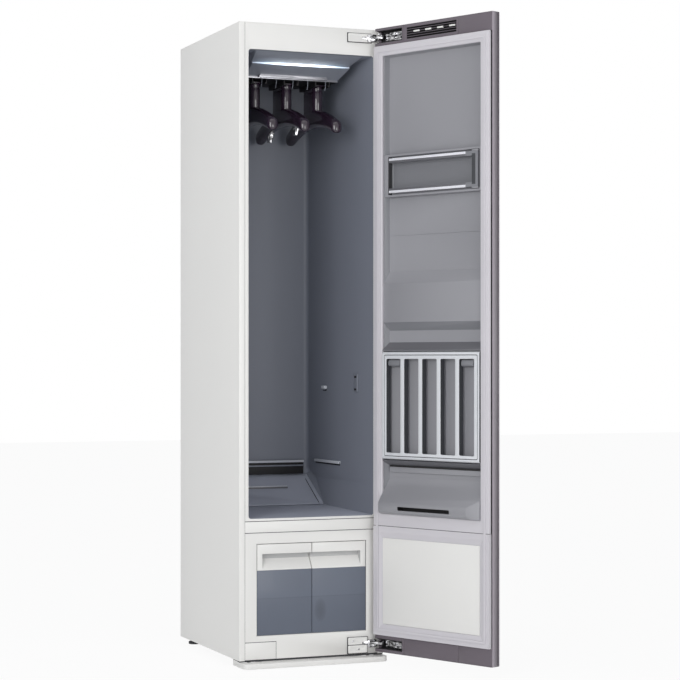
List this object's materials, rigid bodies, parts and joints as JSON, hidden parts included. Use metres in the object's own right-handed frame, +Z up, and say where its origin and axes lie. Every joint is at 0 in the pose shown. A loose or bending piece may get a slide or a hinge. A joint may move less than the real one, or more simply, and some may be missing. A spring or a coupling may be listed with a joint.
{
  "type": "clothes care steam cabinet",
  "caption": "Tall clothes care steam cabinet with a full-height hinged door, hangers on slide-out rails, a shelf stored on the door and removable water tanks.",
  "frame": {"origin": "on the floor, at the centre of the rectangle of the levelling feet", "axes": "+Z up along the cabinet's height, +X to the right seen from the front, +Y from the front to the back"},
  "size_m": [0.6239, 0.982, 1.85],
  "materials": {
    "body_paint": "satin",
    "bare_sheet": "matte",
    "front_moulding": "satin",
    "tub_plastic": "satin",
    "light_lens": "satin",
    "bar_metal": "brushed",
    "hanger_plastic": "matte",
    "chrome": "polished",
    "tank_clear": "gloss",
    "tank_white": "satin",
    "float_plastic": "matte",
    "rubber": "matte",
    "door_glass": "gloss",
    "door_metal": "satin",
    "door_moulding": "satin",
    "liner_grey": "satin",
    "liner_pale": "satin",
    "liner_white": "satin",
    "shelf_grey": "satin",
    "steel": "brushed",
    "machine_black": "satin",
    "fin_aluminium": "satin",
    "duct_plastic": "matte",
    "board_green": "matte"
  },
  "bodies": {
    "cabinet": {"left_side_panel": "body_paint", "right_side_panel": "body_paint", "top_panel": "body_paint", "back_panel": "bare_sheet", "chassis": "bare_sheet", "levelling_feet": "rubber", "foot_plate": "body_paint", "front_frame": "front_moulding", "sill_strip": "front_moulding", "lower_fascia": "front_moulding", "cavity_tub": "tub_plastic", "rear_ramp": "tub_plastic", "air_return_grille": "tub_plastic", "ceiling_module": "tub_plastic", "light_lens": "light_lens", "hanger_bar": "bar_metal", "wall_fittings": "tub_plastic", "tank_bay": "duct_plastic", "hinge_plates": "steel", "compressor": "machine_black", "heat_exchangers": "fin_aluminium", "fan_housing": "duct_plastic", "fan_motors": "steel", "top_blower_housing": "duct_plastic", "steam_generator": "fin_aluminium", "pumps": "duct_plastic", "rear_air_duct": "duct_plastic", "control_board": "board_green", "power_inlet": "machine_black"},
    "door": {"door_front_panel": "door_glass", "door_shell": "door_metal", "door_top_rail": "door_moulding", "door_bottom_rail": "door_moulding", "upper_liner_frame": "liner_pale", "lower_liner_frame": "liner_pale", "lower_insert": "liner_white", "upper_liner": "liner_grey", "door_scoop": "liner_grey", "door_gasket": "rubber", "rail_bracket": "shelf_grey", "hinge_cups": "machine_black"},
    "links": {"hinge_links": "steel"},
    "shelf": {"door_shelf": "shelf_grey"},
    "arm": {"rail_arm": "bar_metal"},
    "cover": {"service_cover": "front_moulding"},
    "filter": {"lint_filter": "tub_plastic"},
    "left_hanger": {"hanger_left": "hanger_plastic"},
    "middle_hanger": {"hanger_middle": "hanger_plastic"},
    "right_hanger": {"hanger_right": "hanger_plastic"},
    "front_jaw": {"clip_jaw_front": "chrome"},
    "rear_jaw": {"clip_jaw_rear": "chrome"},
    "fill_tank": {"fill_tank_shell": "tank_clear", "fill_tank_cap": "tank_white"},
    "drain_tank": {"drain_tank_shell": "tank_clear", "drain_tank_cap": "tank_white"},
    "fill_lid": {"fill_tank_lid": "tank_white"},
    "drain_lid": {"drain_tank_lid": "tank_white"},
    "level_float": {"drain_tank_float": "float_plastic"},
    "base_fan": {"fan_wheel": "duct_plastic"},
    "top_fan": {"top_blower_wheel": "duct_plastic"}
  },
  "joints": [
    {"name": "door_swing", "type": "hinge", "parent": "cabinet", "child": "door", "pos_m": [0.208, -0.3049, 0], "axis": [0, 0, 1], "range_deg": [-114.06, 6]},
    {"name": "hinge_link_turn", "type": "hinge", "parent": "cabinet", "child": "links", "pos_m": [0.208, -0.3049, 0], "axis": [0, 0, 1], "range_deg": [-57.03, 3]},
    {"name": "shelf_lift_off", "type": "slide", "parent": "door", "child": "shelf", "axis": [-0.9131, -0.4077, 0], "range_m": [0, 0.15]},
    {"name": "rail_arm_swing", "type": "hinge", "parent": "door", "child": "arm", "pos_m": [0.34828, -0.64583, 0], "axis": [0, 0, 1], "range_deg": [0, 90]},
    {"name": "service_cover_fold", "type": "hinge", "parent": "cabinet", "child": "cover", "pos_m": [0, -0.28, 0.024], "axis": [1, 0, 0], "range_deg": [0, 88]},
    {"name": "lint_filter_lift", "type": "slide", "parent": "cabinet", "child": "filter", "axis": [0, 0, 1], "range_m": [0, 0.09]},
    {"name": "left_hanger_slide", "type": "slide", "parent": "cabinet", "child": "left_hanger", "axis": [0, -1, 0], "range_m": [0, 0.25]},
    {"name": "middle_hanger_slide", "type": "slide", "parent": "cabinet", "child": "middle_hanger", "axis": [0, -1, 0], "range_m": [0, 0.25]},
    {"name": "right_hanger_slide", "type": "slide", "parent": "cabinet", "child": "right_hanger", "axis": [0, -1, 0], "range_m": [0, 0.25]},
    {"name": "front_jaw_open", "type": "hinge", "parent": "middle_hanger", "child": "front_jaw", "pos_m": [0.0072, 0, 1.5718], "axis": [0, -1, 0], "range_deg": [0, 20], "stiffness_Nm_per_rad": 0.1, "springref_deg": -11.46},
    {"name": "rear_jaw_open", "type": "hinge", "parent": "middle_hanger", "child": "rear_jaw", "pos_m": [0.0072, 0, 1.5718], "axis": [0, -1, 0], "range_deg": [0, 20], "stiffness_Nm_per_rad": 0.1, "springref_deg": -11.46},
    {"name": "fill_tank_slide", "type": "slide", "parent": "cabinet", "child": "fill_tank", "axis": [0, -1, 0], "range_m": [0, 0.25]},
    {"name": "fill_lid_open", "type": "hinge", "parent": "fill_tank", "child": "fill_lid", "pos_m": [0, -0.006, 0.3546], "axis": [-1, 0, 0], "range_deg": [0, 90]},
    {"name": "drain_tank_slide", "type": "slide", "parent": "cabinet", "child": "drain_tank", "axis": [0, -1, 0], "range_m": [0, 0.25]},
    {"name": "drain_lid_open", "type": "hinge", "parent": "drain_tank", "child": "drain_lid", "pos_m": [0, -0.006, 0.3546], "axis": [-1, 0, 0], "range_deg": [0, 90]},
    {"name": "float_rise", "type": "slide", "parent": "drain_tank", "child": "level_float", "axis": [0, 0, 1], "range_m": [0, 0.11]},
    {"name": "base_fan_spin", "type": "hinge", "parent": "cabinet", "child": "base_fan", "pos_m": [-0.1, 0.172, 0.144], "axis": [0, 1, 0], "continuous": true},
    {"name": "top_fan_spin", "type": "hinge", "parent": "cabinet", "child": "top_fan", "pos_m": [0, 0.04, 1.796], "axis": [0, 0, 1], "continuous": true}
  ],
  "couplings": [
    {"joint": "hinge_link_turn", "follows": "door_swing", "ratio": 0.5}
  ]
}
